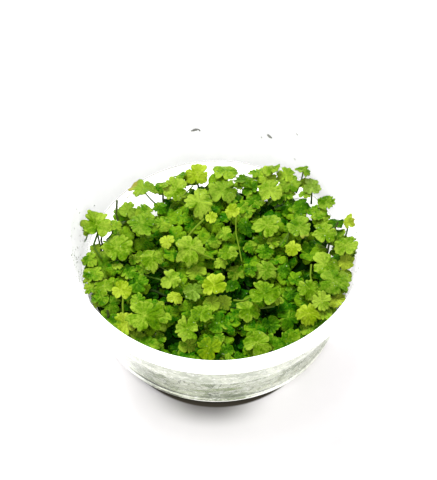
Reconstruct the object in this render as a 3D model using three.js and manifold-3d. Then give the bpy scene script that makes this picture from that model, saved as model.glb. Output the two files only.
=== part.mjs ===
// A low round culture cup of tripartite pennywort: clear tapered cup, bed of pale gel,
// a thicket of creeping stems and low leaves, and the upper leaves, each on its own petiole.
// Millimetres, +Z up, origin at the middle of the cup's foot. The viewer stands at -Y.

import * as THREE from "three";
import { mergeVertices } from "three/addons/utils/BufferGeometryUtils.js";
import Module from "manifold-3d";

const wasm = await Module();
wasm.setup();

// Cup
const RIM_RADIUS = 49.5;
const CUP_HEIGHT = 39;
const BASE_RADIUS = 38.8;
const HEEL = 1.6;
const OVERHANG = 1;
const FOOT_RADIUS = 36.6;
const FOOT_RING = 1.5;
const FLOOR_TOP = 1.9;
const FLOOR_RADIUS = 37.3;
const WALL = 0.8;
const MOUTH_RADIUS = 46.4;
const MOUTH_EDGE = 38.4;
const WALL_FOOT_RADIUS = 38.1;
const WALL_FOOT = 2.7;
const LIP_DROP = 3.7;
const LIP_WALL = 0.8;
const ROUND = 0.5;
const CUP_SIDES = 40;

// Gel and thicket
const CLEARANCE = 0.35;
const LEAST_GAP = 0.3;
const GEL_TOP = 18;
const MENISCUS = 0.5;
const MENISCUS_WIDTH = 1;
const THICKET_CROWN = 22.5;
const THICKET_EDGE = 21.2;
const HUMMOCK = 1.1;
const HUMMOCK_X = 2.4;
const HUMMOCK_Y = 2.7;
const HUMMOCK_SHIFT = 0.8;
const RIDGE = 0.8;
const RIDGE_X = 3.3;
const RIDGE_Y = 1.7;
const BARE_STRIP = 6;
const BARE_DIRECTION = 105;
const BARE_SPREAD = 60;
const BARE_CORE = 0.3;
const STALK_DEPTH = 3;
const THICKET_RINGS = 7;
const THICKET_SIDES = 30;

// Leaves
const BLADE_THICKNESS = 0.6;
const PETIOLE_RADIUS = 0.45;
const LOBE_TURN = 114;
const UPPER_TEETH = [[-45, 0.84], [-21, 1], [0, 0.88], [21, 1], [45, 0.84]];
const LOW_TEETH = [[-32, 0.97], [32, 0.97]];
const CUT_REACH = 0.36;
const BASAL_CUT_REACH = 0.16;
const CUPPING = 0.16;
const BLADE_HUB = 0.05;
const BLADE_MIDDLE = 0.06;
const JOINT_BACK = 0.03;
const PETIOLE_SWEEP = 0.12;
const READING_HEIGHT = 27;
const SIGHT_SLOPE = 0.675;
const LIFTS = [0, 0.6, -0.6, 1.2, -1.2, 1.8, -1.8, 2.4, -2.4, 3];
const PULLS = [0, 0.7, 1.4, 2.1, 2.8, 3.5];

const MATERIALS = {
  plastic: new THREE.MeshStandardMaterial({ color: 0xf2f4f3, roughness: 0.25, metalness: 0 }),
  gel: new THREE.MeshStandardMaterial({ color: 0xd5dbc4, roughness: 0.2, metalness: 0 }),
  thicket: new THREE.MeshStandardMaterial({ color: 0x3c6a12, roughness: 0.5, metalness: 0 }),
  lime: new THREE.MeshStandardMaterial({ color: 0xb2cc2c, roughness: 0.4, metalness: 0 }),
  light: new THREE.MeshStandardMaterial({ color: 0x97b83a, roughness: 0.4, metalness: 0 }),
  mid: new THREE.MeshStandardMaterial({ color: 0x6f9a1c, roughness: 0.4, metalness: 0 }),
  olive: new THREE.MeshStandardMaterial({ color: 0x7d9a34, roughness: 0.45, metalness: 0 }),
};

// The upper leaves. Each row: x and y of the blade's middle as read on the level of
// READING_HEIGHT along the viewer's line of sight, the blade's true height, its span,
// the compass direction of its middle lobe, its lean and the direction it leans to.
const UPPER_LEAVES = [
  [-37.9, 12, 30, 10.5, 95, 12, 250, "light"],
  [-37, -4, 25, 11.5, 200, 10, 200, "mid"],
  [-31.5, 3, 28, 10, 95, 10, 280, "light"],
  [-28.2, 16.9, 27, 6.5, 90, 20, 270, "mid"],
  [-24, 12, 30, 10, 150, 8, 300, "mid"],
  [-24, 25.6, 27, 9, 140, 36, 130, "mid"],
  [-13, 25, 28, 9.5, 70, 15, 270, "light"],
  [-15.8, 4.5, 27, 5.2, 270, 20, 250, "lime"],
  [-20.5, -1.4, 29, 8, 250, 10, 90, "light"],
  [-6.2, 31, 27, 8.5, 80, 30, 265, "lime"],
  [-5.5, 19.5, 30, 10, 300, 10, 250, "light"],
  [2, 25, 27, 9.5, 80, 10, 280, "mid"],
  [10, 28.7, 26, 8, 60, 35, 60, "mid"],
  [-1.7, 13.8, 31, 4.2, 60, 25, 260, "lime"],
  [4.8, 16.5, 30, 5, 90, 20, 200, "lime"],
  [3.8, 0.7, 29, 6.5, 20, 12, 300, "light"],
  [-8.6, 3, 30, 10.5, 135, 8, 270, "light"],
  [16.2, 11.5, 29, 9.8, 60, 10, 250, "light"],
  [16.8, 25, 28, 9, 95, 12, 270, "light"],
  [17.4, 33.4, 28, 6.5, 90, 42, 100, "light"],
  [23.2, 27.5, 26, 8.5, 90, 15, 290, "mid"],
  [27.5, 32.5, 27, 5.2, 90, 45, 70, "mid"],
  [30.3, 26, 27, 6.5, 90, 15, 260, "olive"],
  [35, 19.8, 27, 6.2, 330, 10, 270, "mid"],
  [26, 10.5, 28, 9, 90, 10, 260, "mid"],
  [33.8, 8.5, 29, 8, 95, 12, 280, "light"],
  [41.6, 12.6, 34, 5.2, 95, 18, 200, "lime"],
  [40.5, 4, 29, 8.5, 80, 15, 180, "light"],
  [40.5, -3, 26, 6, 280, 25, 200, "lime"],
  [24, 2.2, 29, 5.8, 250, 12, 270, "lime"],
  [33.8, -3.5, 28, 9.5, 110, 10, 270, "light"],
  [-29.6, -13, 28, 6.8, 90, 15, 270, "lime"],
  [-35.3, -11.7, 26, 7, 120, 12, 300, "light"],
  [-21.5, -22.7, 29, 12.8, 350, 10, 280, "light"],
  [-28.2, -26, 26, 9, 230, 15, 250, "lime"],
  [-14, -9.2, 29, 7, 90, 15, 270, "light"],
  [-13, -15.7, 29, 5.2, 80, 20, 270, "lime"],
  [-7.5, -14, 28, 7, 270, 15, 260, "olive"],
  [-0.8, -11, 30, 8, 80, 20, 270, "lime"],
  [-5.2, -22, 28.5, 7.5, 200, 10, 250, "light"],
  [-9.2, -28, 28, 8.5, 270, 12, 270, "light"],
  [-2.5, -35, 27, 8.5, 250, 15, 270, "lime"],
  [12.7, -33, 28, 10.5, 300, 10, 270, "light"],
  [9.8, -20.5, 28, 8.5, 120, 20, 330, "light"],
  [14.5, -14, 30, 10, 90, 8, 280, "light"],
  [15, -6, 27, 7.5, 180, 10, 270, "mid"],
  [28.3, -13, 28, 8, 180, 12, 270, "light"],
  [36.8, -9.6, 29.5, 10, 0, 12, 180, "mid"],
  [38, -17, 26, 6, 20, 15, 200, "lime"],
  [32.5, -18, 27.5, 6.5, 300, 12, 270, "light"],
  [28.3, -22.5, 29, 7.8, 275, 12, 270, "lime"],
  [23.5, -31, 26, 6, 60, 15, 270, "light"],
];

// The low leaves, grown from the thicket's own stems: x, y, height, span, direction, lean.
const LOW_LEAVES = [
  [-16.7, 27, 24, 6, 140, 20],
  [3, 31.5, 24, 7, 70, 20],
  [-18, 18, 24, 5.5, 30, 10],
  [-10, 13.5, 23, 9, 100, 8],
  [10.2, 17, 24, 5.5, 20, 10],
  [9.3, 10, 22.5, 8, 250, 8],
  [15, 0.8, 24, 6.5, 270, 12],
  [23, 19, 23, 9, 40, 8],
  [30.2, 1.8, 23.5, 7.5, 300, 10],
  [17.8, 4.7, 24.5, 5, 45, 12],
  [-24, 3.5, 21.5, 7, 180, 8],
  [-22.6, -5.5, 23, 5.5, 330, 12],
  [-24.5, -10.5, 24.5, 8, 20, 12],
  [-17, 11.5, 25, 7, 60, 12],
  [-33, -18.5, 23, 7, 280, 10],
  [-19, -32, 23.5, 7.5, 270, 12],
  [-6.5, -7, 24, 7, 260, 12],
  [-2, -18.5, 25, 6.2, 200, 12],
  [2.3, -18, 24, 5.5, 80, 10],
  [0.5, -26, 24, 8, 240, 10],
  [-9, -34, 24, 7.5, 200, 10],
  [3, -36, 23, 6, 280, 12],
  [5.7, -6.5, 23.5, 6.5, 120, 10],
  [21, -6, 24.5, 6.5, 0, 12],
  [22.8, -15, 23, 6, 200, 10],
  [22, -24, 24, 8, 250, 12],
  [17, -26, 22.5, 7, 60, 8],
  [33, -23, 23.5, 5.5, 330, 10],
];

const rad = THREE.MathUtils.degToRad;

// Inside radius of the cup's straight tapered wall at a height.
function wallRadius(z) {
  const part = (z - WALL_FOOT) / (MOUTH_EDGE - WALL_FOOT);
  return THREE.MathUtils.lerp(WALL_FOOT_RADIUS, MOUTH_RADIUS, part);
}

function solidOf(geometry) {
  const bare = geometry.index ? geometry.toNonIndexed() : geometry.clone();
  bare.deleteAttribute("normal");
  bare.deleteAttribute("uv");
  const merged = mergeVertices(bare, 1e-3);
  return new wasm.Manifold(
    new wasm.Mesh({
      numProp: 3,
      vertProperties: merged.attributes.position.array,
      triVerts: new Uint32Array(merged.index.array),
    }),
  );
}

function meshOf(name, solid, material) {
  const { vertProperties, triVerts } = solid.getMesh();
  const geometry = new THREE.BufferGeometry();
  geometry.setAttribute("position", new THREE.BufferAttribute(vertProperties, 3));
  geometry.setIndex(new THREE.BufferAttribute(triVerts, 1));
  geometry.computeVertexNormals();
  const mesh = new THREE.Mesh(geometry, material);
  mesh.name = name;
  return mesh;
}

function turned(profile) {
  const points = profile.map(([r, z]) => new THREE.Vector2(r, z));
  return new THREE.LatheGeometry(points, CUP_SIDES).rotateX(Math.PI / 2);
}

// The cup in one lathe profile: a foot ring set in under the base's edge, tapered wall,
// flange with a turned-down lip.
function makeCup() {
  const lipInside = RIM_RADIUS - LIP_WALL;
  const lipFoot = CUP_HEIGHT - LIP_DROP;
  const flangeBelow = CUP_HEIGHT - WALL;
  return turned([
    [0, OVERHANG],
    [FOOT_RADIUS - FOOT_RING - ROUND, OVERHANG],
    [FOOT_RADIUS - FOOT_RING, 0],
    [FOOT_RADIUS, 0],
    [FOOT_RADIUS + ROUND, OVERHANG],
    [BASE_RADIUS - ROUND, OVERHANG],
    [BASE_RADIUS, HEEL],
    [wallRadius(flangeBelow) + WALL, flangeBelow],
    [lipInside, flangeBelow],
    [lipInside, lipFoot],
    [RIM_RADIUS, lipFoot],
    [RIM_RADIUS, CUP_HEIGHT - ROUND],
    [RIM_RADIUS - ROUND, CUP_HEIGHT],
    [MOUTH_RADIUS + ROUND, CUP_HEIGHT],
    [MOUTH_RADIUS, MOUTH_EDGE],
    [WALL_FOOT_RADIUS, WALL_FOOT],
    [FLOOR_RADIUS, FLOOR_TOP],
    [0, FLOOR_TOP],
  ]);
}

function makeGel() {
  const bottom = FLOOR_TOP + CLEARANCE;
  const corner = WALL_FOOT + 2 * CLEARANCE;
  const rise = GEL_TOP + MENISCUS;
  return turned([
    [0, bottom],
    [FLOOR_RADIUS - CLEARANCE, bottom],
    [wallRadius(corner) - CLEARANCE, corner],
    [wallRadius(rise) - CLEARANCE, rise],
    [wallRadius(rise) - CLEARANCE - MENISCUS_WIDTH, GEL_TOP],
    [0, GEL_TOP],
  ]);
}

// Height of the thicket's lumpy top.
function thicketHeight(x, y) {
  const out = Math.min(Math.hypot(x, y) / BASE_RADIUS, 1);
  const hummocks = HUMMOCK * Math.sin(x / HUMMOCK_X + HUMMOCK_SHIFT) * Math.cos(y / HUMMOCK_Y);
  const ridges = RIDGE * Math.sin(x / RIDGE_X - y / RIDGE_Y);
  return THREE.MathUtils.lerp(THICKET_CROWN, THICKET_EDGE, out ** 2) + hummocks + ridges;
}

// The thicket's edge at a height: the cup's wall, less a bare strip at the far side.
function thicketReach(direction, z) {
  const off = Math.abs(THREE.MathUtils.radToDeg(direction) - BARE_DIRECTION) / BARE_SPREAD;
  const bare = BARE_STRIP * (1 - THREE.MathUtils.smoothstep(off, BARE_CORE, 1));
  return wallRadius(z) - 2 * CLEARANCE - bare;
}

function thicketMound() {
  const bottom = GEL_TOP + MENISCUS + CLEARANCE;
  const top = THICKET_EDGE - HUMMOCK - RIDGE;
  const corners = [0, 0, thicketHeight(0, 0)];
  const faces = [];
  const ring = (k, i) => 1 + k * THICKET_SIDES + ((i + THICKET_SIDES) % THICKET_SIDES);
  for (let k = 0; k < THICKET_RINGS; k += 1) {
    for (let i = 0; i < THICKET_SIDES; i += 1) {
      const direction = (2 * Math.PI * i) / THICKET_SIDES;
      const reach = (thicketReach(direction, top) * (k + 1)) / THICKET_RINGS;
      const x = reach * Math.cos(direction);
      const y = reach * Math.sin(direction);
      corners.push(x, y, thicketHeight(x, y));
    }
  }
  for (let i = 0; i < THICKET_SIDES; i += 1) {
    const direction = (2 * Math.PI * i) / THICKET_SIDES;
    const reach = thicketReach(direction, bottom);
    corners.push(reach * Math.cos(direction), reach * Math.sin(direction), bottom);
  }
  const middle = corners.length / 3;
  corners.push(0, 0, bottom);
  for (let i = 0; i < THICKET_SIDES; i += 1) {
    faces.push(0, ring(0, i), ring(0, i + 1));
    for (let k = 0; k < THICKET_RINGS; k += 1) {
      faces.push(ring(k, i), ring(k + 1, i), ring(k + 1, i + 1));
      faces.push(ring(k, i), ring(k + 1, i + 1), ring(k, i + 1));
    }
    faces.push(ring(THICKET_RINGS, i), middle, ring(THICKET_RINGS, i + 1));
  }
  const geometry = new THREE.BufferGeometry();
  geometry.setAttribute("position", new THREE.Float32BufferAttribute(corners, 3));
  geometry.setIndex(faces);
  return solidOf(geometry);
}

// Outline of a blade about its petiole's joint, middle lobe along +X, half a span in radius:
// three lobes parted by deep cuts, each with blunt teeth.
function bladeOutline(span, teeth) {
  const outline = [];
  for (const middle of [-LOBE_TURN, 0, LOBE_TURN]) {
    for (const [offset, part] of teeth) {
      outline.push([middle + offset, part]);
    }
    outline.push(middle === LOBE_TURN ? [180, BASAL_CUT_REACH] : [middle + LOBE_TURN / 2, CUT_REACH]);
  }
  return outline.map(([turn, part]) => {
    const reach = (part * span) / 2;
    return [reach * Math.cos(rad(turn)), reach * Math.sin(rad(turn)), CUPPING * part * part * (span / 2)];
  });
}

// A thin slab between the outline and a hub just ahead of the joint, in the blade's own frame.
function bladeGeometry(outline, span) {
  const count = outline.length;
  const hub = BLADE_HUB * span;
  const corners = [hub, 0, 0, hub, 0, -BLADE_THICKNESS];
  const faces = [];
  for (const [x, y, z] of outline) {
    corners.push(x, y, z, x, y, z - BLADE_THICKNESS);
  }
  for (let i = 0; i < count; i += 1) {
    const here = 2 + 2 * i;
    const next = 2 + 2 * ((i + 1) % count);
    faces.push(0, here, next, 1, next + 1, here + 1);
    faces.push(here, here + 1, next + 1, here, next + 1, next);
  }
  const geometry = new THREE.BufferGeometry();
  geometry.setAttribute("position", new THREE.Float32BufferAttribute(corners, 3));
  geometry.setIndex(faces);
  return geometry;
}

// The joint's frame that puts the blade's middle where it was read.
function bladeFrame([x, y, height, span, facing, lean, toward], lift, pull) {
  const z = height + lift;
  const middle = new THREE.Vector3(x, y + (READING_HEIGHT - z) * SIGHT_SLOPE, z);
  const inward = new THREE.Vector3(-middle.x, -middle.y, 0).normalize();
  middle.addScaledVector(inward, pull);
  const tip = new THREE.Vector3(-Math.sin(rad(toward)), Math.cos(rad(toward)), 0);
  const frame = new THREE.Matrix4().makeRotationAxis(tip, rad(lean));
  frame.multiply(new THREE.Matrix4().makeRotationZ(rad(facing)));
  const offset = new THREE.Vector3(BLADE_MIDDLE * span, 0, (CUPPING * span) / 10).applyMatrix4(frame);
  return frame.setPosition(middle.sub(offset));
}

// The petiole's upper end, inside the blade just behind its hub.
function petioleJoint(frame, span) {
  return new THREE.Vector3(-JOINT_BACK * span, 0, -BLADE_THICKNESS / 2).applyMatrix4(frame);
}

function petioleGeometry(joint, foot, steps) {
  const bend = new THREE.Vector3(joint.x, joint.y, THREE.MathUtils.lerp(foot.z, joint.z, 0.5));
  const path = new THREE.QuadraticBezierCurve3(foot, bend, joint);
  const section = new THREE.Shape([0, 120, 240].map((turn) => new THREE.Vector2(
    PETIOLE_RADIUS * Math.cos(rad(turn)),
    PETIOLE_RADIUS * Math.sin(rad(turn)),
  )));
  return new THREE.ExtrudeGeometry(section, { steps, extrudePath: path });
}

// The low leaves stand on short stalks, fused to the thicket.
function makeThicket() {
  const pieces = [thicketMound()];
  for (const [x, y, height, span, facing, lean] of LOW_LEAVES) {
    const frame = bladeFrame([x, y, height, span, facing, lean, 270], 0, 0);
    const blade = bladeGeometry(bladeOutline(span, LOW_TEETH), span).applyMatrix4(frame);
    const joint = petioleJoint(frame, span);
    const depth = thicketHeight(joint.x, joint.y) - STALK_DEPTH;
    const foot = new THREE.Vector3(joint.x, joint.y, Math.max(depth, GEL_TOP + MENISCUS + 2 * CLEARANCE));
    pieces.push(solidOf(blade));
    pieces.push(solidOf(petioleGeometry(joint, foot, 1)));
  }
  return wasm.Manifold.union(pieces);
}

// Highest point of the thicket under a petiole's foot.
const downward = new THREE.Raycaster();
function thicketTop(thicket, x, y) {
  let top = -Infinity;
  for (const [dx, dy] of [[0, 0], [1, 0], [-1, 0], [0, 1], [0, -1]]) {
    const start = new THREE.Vector3(x + dx * 2 * PETIOLE_RADIUS, y + dy * 2 * PETIOLE_RADIUS, CUP_HEIGHT);
    downward.set(start, new THREE.Vector3(0, 0, -1));
    const [hit] = downward.intersectObject(thicket);
    top = Math.max(top, hit ? hit.point.z : GEL_TOP + MENISCUS);
  }
  return top;
}

function makeLeaf(row, lift, pull, thicket) {
  const frame = bladeFrame(row, lift, pull);
  const span = row[3];
  const blade = bladeGeometry(bladeOutline(span, UPPER_TEETH), span).applyMatrix4(frame);
  const joint = petioleJoint(frame, span);
  const heel = new THREE.Vector3(-1, 0, 0).transformDirection(frame).multiplyScalar(PETIOLE_SWEEP * span);
  const footX = joint.x + heel.x;
  const footY = joint.y + heel.y;
  const footZ = thicketTop(thicket, footX, footY) + 1.5 * CLEARANCE;
  if (footZ > joint.z - 3 * PETIOLE_RADIUS) {
    return null;
  }
  const petiole = petioleGeometry(joint, new THREE.Vector3(footX, footY, footZ), 2);
  return solidOf(blade).add(solidOf(petiole));
}

const clear = (piece, others) => others.every((other) => piece.minGap(other, CLEARANCE) >= LEAST_GAP);

// A leaf gives way to those before it: it rises or sinks along the line of sight,
// and draws in from the cup's wall, by the least that keeps it clear of them.
function settleLeaf(name, row, thicket, others) {
  for (const pull of PULLS) {
    for (const lift of LIFTS) {
      const leaf = makeLeaf(row, lift, pull, thicket);
      if (leaf && clear(leaf, others)) {
        return leaf;
      }
    }
  }
  throw new Error(name + " finds no clear place");
}

const group = new THREE.Group();
const cup = solidOf(makeCup());
const gel = solidOf(makeGel());
const thicket = makeThicket();
group.add(meshOf("cup", cup, MATERIALS.plastic));
group.add(meshOf("gel", gel, MATERIALS.gel));
const thicketMesh = meshOf("undergrowth", thicket, MATERIALS.thicket);
group.add(thicketMesh);

const settled = [cup, thicket];
UPPER_LEAVES.forEach((row, index) => {
  const name = "leaf_" + String(index + 1).padStart(2, "0");
  const leaf = settleLeaf(name, row, thicketMesh, settled);
  settled.push(leaf);
  group.add(meshOf(name, leaf, MATERIALS[row[7]]));
});

export default group;
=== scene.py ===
import math
import random
from collections import namedtuple

import bpy
import numpy as np
from mathutils import Matrix, Vector


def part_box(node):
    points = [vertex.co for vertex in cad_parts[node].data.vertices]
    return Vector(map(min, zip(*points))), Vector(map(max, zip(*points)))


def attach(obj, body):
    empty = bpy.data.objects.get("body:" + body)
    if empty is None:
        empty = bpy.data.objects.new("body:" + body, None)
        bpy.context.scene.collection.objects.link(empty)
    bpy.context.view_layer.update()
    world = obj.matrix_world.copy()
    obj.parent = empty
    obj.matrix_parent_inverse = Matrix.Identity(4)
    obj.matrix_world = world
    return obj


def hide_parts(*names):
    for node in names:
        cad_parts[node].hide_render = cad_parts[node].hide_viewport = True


# A culture cup of tripartite pennywort: the milky cup, its gel with roots, the upper leaves,
# each on its petiole, and the low leaves, stems and petioles under them.
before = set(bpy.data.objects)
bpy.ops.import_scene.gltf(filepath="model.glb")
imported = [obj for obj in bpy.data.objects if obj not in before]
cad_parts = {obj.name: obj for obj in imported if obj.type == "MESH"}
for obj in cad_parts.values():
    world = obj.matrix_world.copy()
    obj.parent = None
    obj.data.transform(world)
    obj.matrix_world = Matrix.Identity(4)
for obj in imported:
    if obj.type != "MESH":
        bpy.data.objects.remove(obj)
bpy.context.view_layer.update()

MM = 0.001
FULL_TURN = 2 * math.pi
GOLDEN_TURN = math.radians(137.5)

# Cup, as in the solids
RIM_RADIUS = 0.0495
CUP_HEIGHT = 0.039
BASE_RADIUS = 0.0388
OVERHANG = 0.001
FOOT_RADIUS = 0.0366
FOOT_RING = 0.0015
FLOOR_TOP = 0.0019
FLOOR_RADIUS = 0.0373
WALL = 0.0008
MOUTH_RADIUS = 0.0464
MOUTH_EDGE = 0.0384
WALL_FOOT_RADIUS = 0.0381
WALL_FOOT = 0.0027
LIP_FOOT = CUP_HEIGHT - 0.0037
LIP_WALL = 0.0008
ROUND = 0.0005
CUP_STEPS = 180

# Gel, and the felt of roots and old stems that lies on it, near black as painted shade
CLEARANCE = 0.00035
GEL_TOP = 0.018
GEL_GAP = 0.00006
MENISCUS = 0.0005
MENISCUS_WIDTH = 0.001
GEL_STEPS = 96
FELT_TOP = GEL_TOP + 0.0012
FELT_FOOT = GEL_TOP + 0.0002
FELT_ROOM = 0.0016

# The strip along the far wall that the thicket leaves bare: its width, the compass direction of
# its middle, its spread to each side, and the share of the spread that has the full width
BARE_STRIP = 0.01
BARE_DIRECTION = 94
BARE_SPREAD = 74
BARE_CORE = 0.45

# Where the thicket stands open to the wall: compass direction, depth and spread
OPENINGS = [
    (38, 0.006, 13),
    (163, 0.0055, 9),
    (134, 0.0135, 11),
    (9, 0.0065, 8),
]

# Leaves: lengths from the joint of the blade and its petiole are in shares of the span
BLADE_THICKNESS = 0.00028
PETIOLE_RADIUS = 0.00026
LOBE_TURN = 114
HALF_LOBE = 57
CUPPING = 0.16
BLADE_MIDDLE = 0.06
JOINT_BACK = 0.03
PETIOLE_SWEEP = 0.12

# Share of a solid's lean in the fine blade, less where it leans to the viewer's side
KEPT_LEAN = 0.6
KEPT_LEAN_TO_VIEWER = 0.25
VIEWER_SIDE = (220, 320)

# Places were read on the level of READING_HEIGHT; a line of sight runs back by SIGHT_SLOPE
# for each metre down
READING_HEIGHT = 0.027
SIGHT_SLOPE = 0.675

# Camera: the photograph's frame, and the rim's middle in it
IMAGE_SIZE = (437, 480)
RIM_PIXEL = (216.8, 232.3)
PIXELS_PER_METRE = 3225
CAMERA_ELEVATION = 56
CAMERA_DISTANCE = 0.9
SENSOR = 36

# Cup's wall: how solid it looks when dry, and what the fog above the gel adds
WALL_ALPHA = 0.1
FOG_ALPHA = 0.2

# Table top: circles of the painted contact shadow, whose middle lies in front of the cup's, and of
# the painted shade seen through the far side, whose middle lies behind it
CONTACT_RADIUS = 0.0316
CONTACT_SHIFT = 0.0082
SHADE_RADIUS = 0.0482
SHADE_BEHIND = 0.0263
GROUND_SHADE = (0.06, 0.055, 0.05)

# Leaf tissues: colours of the dark, middle and bright parts and of light that comes through,
# and the share of that light
TISSUES = {
    "lime": (
        (0.062, 0.15, 0.0013), (0.2, 0.31, 0.004), (0.37, 0.49, 0.035), (0.25, 0.375, 0.0037), 0.3,
    ),
    "light": (
        (0.016, 0.081, 0.0005), (0.102, 0.22, 0.002), (0.28, 0.41, 0.034), (0.138, 0.275, 0.0013), 0.3,
    ),
    "mid": (
        (0.008, 0.062, 0.00037), (0.068, 0.18, 0.0013), (0.215, 0.345, 0.025), (0.094, 0.225, 0.00075), 0.3,
    ),
    "olive": (
        (0.042, 0.105, 0.004), (0.125, 0.228, 0.015), (0.26, 0.385, 0.06), (0.13, 0.24, 0.009), 0.28,
    ),
    # low and shade: darker, greener copies of the leaf tissue, which paint the shade that the lower leaves
    # stand in
    "low": (
        (0.003, 0.05, 0.0003), (0.054, 0.182, 0.001), (0.245, 0.385, 0.022), (0.048, 0.2, 0.0005), 0.28,
    ),
    "shade": (
        (0.001, 0.036, 0.0003), (0.019, 0.139, 0.0006), (0.155, 0.3, 0.0065), (0.014, 0.14, 0.00025), 0.25,
    ),
}

# Petioles, stems and felt: colour at the gel, colour at the leaves, share of light that comes
# through, and gloss
STALKS = {
    "petiole": ((0.014, 0.05, 0.002), (0.08, 0.16, 0.007), 0.2, 0.03),
    "creeping_stem": ((0.008, 0.017, 0.004), (0.022, 0.048, 0.006), 0.0, 0.02),
    # The felt's colours are near black: painted shade under the thicket, over its roots and old stems
    "root_mat_painted_shade": ((0.003, 0.016, 0.001), (0.007, 0.03, 0.002), 0.0, 0.0),
    "stalk_lime": ((0.07, 0.14, 0.005), (0.13, 0.21, 0.012), 0.2, 0.04),
    "stalk_green": ((0.03, 0.07, 0.005), (0.055, 0.12, 0.008), 0.15, 0.05),
    "stalk_brown": ((0.02, 0.024, 0.006), (0.03, 0.045, 0.01), 0.0, 0.02),
    "stalk_pale": ((0.05, 0.1, 0.01), (0.09, 0.15, 0.02), 0.2, 0.03),
}

# A leaf, in millimetres and degrees: x and y of the blade's middle as read, true height, span,
# compass direction of the middle lobe, lean, direction of the lean, tone from 0 dark to about
# 1 bright, and tissue
Leaf = namedtuple("Leaf", "x y height span facing lean toward tone tissue", defaults=["low"])

# The upper leaves
UPPER_LEAVES = [
    (-37.9, 12, 30, 10.5, 95, 12, 250, 0.2, "light"),
    (-37, -4, 25, 11.5, 200, 10, 200, 0.2, "mid"),
    (-31.5, 3, 28, 10, 95, 10, 280, 0.3, "light"),
    (-28.2, 16.9, 27, 6.5, 90, 20, 270, 0.5, "mid"),
    (-24, 12, 30, 10, 150, 8, 300, 0.4, "mid"),
    (-24, 25.6, 27, 9, 140, 36, 130, 0.6, "mid"),
    (-13, 25, 28, 9.5, 70, 15, 270, 0.3, "light"),
    (-15.8, 4.5, 27, 5.2, 270, 20, 250, 0.55, "lime"),
    (-20.5, -1.4, 29, 8, 250, 10, 90, 0.6, "light"),
    (-6.2, 31, 27, 8.5, 80, 30, 265, 0.35, "lime"),
    (-5.5, 19.5, 30, 10, 300, 10, 250, 0.45, "light"),
    (2, 25, 27, 9.5, 80, 10, 280, 0.5, "mid"),
    (10, 28.7, 26, 8, 60, 35, 60, 0.25, "mid"),
    (-1.7, 13.8, 31, 4.2, 60, 25, 260, 0.65, "lime"),
    (4.8, 16.5, 30, 5, 90, 20, 200, 0.55, "lime"),
    (3.8, 0.7, 29, 6.5, 20, 12, 300, 0.4, "light"),
    (-8.6, 3, 30, 10.5, 135, 8, 270, 0.65, "light"),
    (16.2, 11.5, 29, 9.8, 60, 10, 250, 0.5, "light"),
    (16.8, 25, 28, 9, 95, 12, 270, 0.5, "light"),
    (17.4, 33.4, 28, 6.5, 90, 42, 100, 0.6, "light"),
    (23.2, 27.5, 26, 8.5, 90, 15, 290, 0.5, "mid"),
    (27.5, 32.5, 27, 5.2, 90, 45, 70, 0.5, "mid"),
    (30.3, 26, 27, 6.5, 90, 15, 260, 0.45, "olive"),
    (35, 19.8, 27, 6.2, 330, 10, 270, 0.4, "mid"),
    (26, 10.5, 28, 9, 90, 10, 260, 0.5, "mid"),
    (33.8, 8.5, 29, 8, 95, 12, 280, 0.45, "light"),
    (41.6, 12.6, 34, 5.2, 95, 18, 200, 0.55, "lime"),
    (40.5, 4, 29, 8.5, 80, 15, 180, 0.5, "light"),
    (40.5, -3, 26, 6, 280, 25, 200, 1.05, "lime"),
    (24, 2.2, 29, 5.8, 250, 12, 270, 0.3, "lime"),
    (33.8, -3.5, 28, 9.5, 110, 10, 270, 0.5, "light"),
    (-29.6, -13, 28, 6.8, 90, 15, 270, 0.35, "lime"),
    (-35.3, -11.7, 26, 7, 120, 12, 300, 0.5, "light"),
    (-21.5, -22.7, 29, 12.8, 350, 10, 280, 0.45, "light"),
    (-28.2, -26, 26, 9, 230, 15, 250, 0.55, "lime"),
    (-14, -9.2, 29, 7, 90, 15, 270, 0.8, "light"),
    (-13, -15.7, 29, 5.2, 80, 20, 270, 0.55, "lime"),
    (-7.5, -14, 28, 7, 270, 15, 260, 0.25, "olive"),
    (-0.8, -11, 30, 8, 80, 20, 270, 0.4, "lime"),
    (-5.2, -22, 28.5, 7.5, 200, 10, 250, 0.1, "light"),
    (-9.2, -28, 28, 8.5, 270, 12, 270, 0.55, "light"),
    (-2.5, -35, 27, 8.5, 250, 15, 270, -0.05, "lime"),
    (12.7, -33, 28, 10.5, 300, 10, 270, 0.55, "light"),
    (9.8, -20.5, 28, 8.5, 120, 20, 330, 0.25, "light"),
    (14.5, -14, 30, 10, 90, 8, 280, 0.3, "light"),
    (15, -6, 27, 7.5, 180, 10, 270, 0.5, "mid"),
    (28.3, -13, 28, 8, 180, 12, 270, 0.3, "light"),
    (36.8, -9.6, 29.5, 10, 0, 12, 180, 0.65, "mid"),
    (38, -17, 26, 6, 20, 15, 200, 0.7, "lime"),
    (32.5, -18, 27.5, 6.5, 300, 12, 270, 0.8, "light"),
    (28.3, -22.5, 29, 7.8, 275, 12, 270, 0.35, "lime"),
    (23.5, -31, 26, 6, 60, 15, 270, 0.5, "light"),
]

# Upper leaves by number. Drawn in from the wall in the solids, in millimetres:
DRAWN_IN = {27: 0.7, 49: 0.7}

# standing up more than their solids, by a share of the solid's lean:
STANDING = {27: 3.2}

# with petioles that slant off, their feet this far from under the blade, in millimetres:
SLANTING = {6: (7, -4), 20: (1.5, -1), 22: (-2, -1)}

# with yellow-brown ends: direction from the middle lobe, start and spread in half spans:
FADED = {
    6: (20, 0.35, 0.4),
    11: (-75, 0.5, 0.9),
    25: (-160, 0.25, 0.9),
    27: (-100, 0.3, 0.8),
    43: (-60, 0.6, 1.2),
}

# with open cuts between full lobes, from another seed than their number:
OTHER_HABITS = {12: 663, 18: 681, 34: 743, 42: 639}

# Teeth on a lobe of a blade's solid: degrees from the lobe's middle, reach in half spans
CAD_TEETH = ((-45, 0.84), (-21, 1), (0, 0.88), (21, 1), (45, 0.84))

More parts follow.
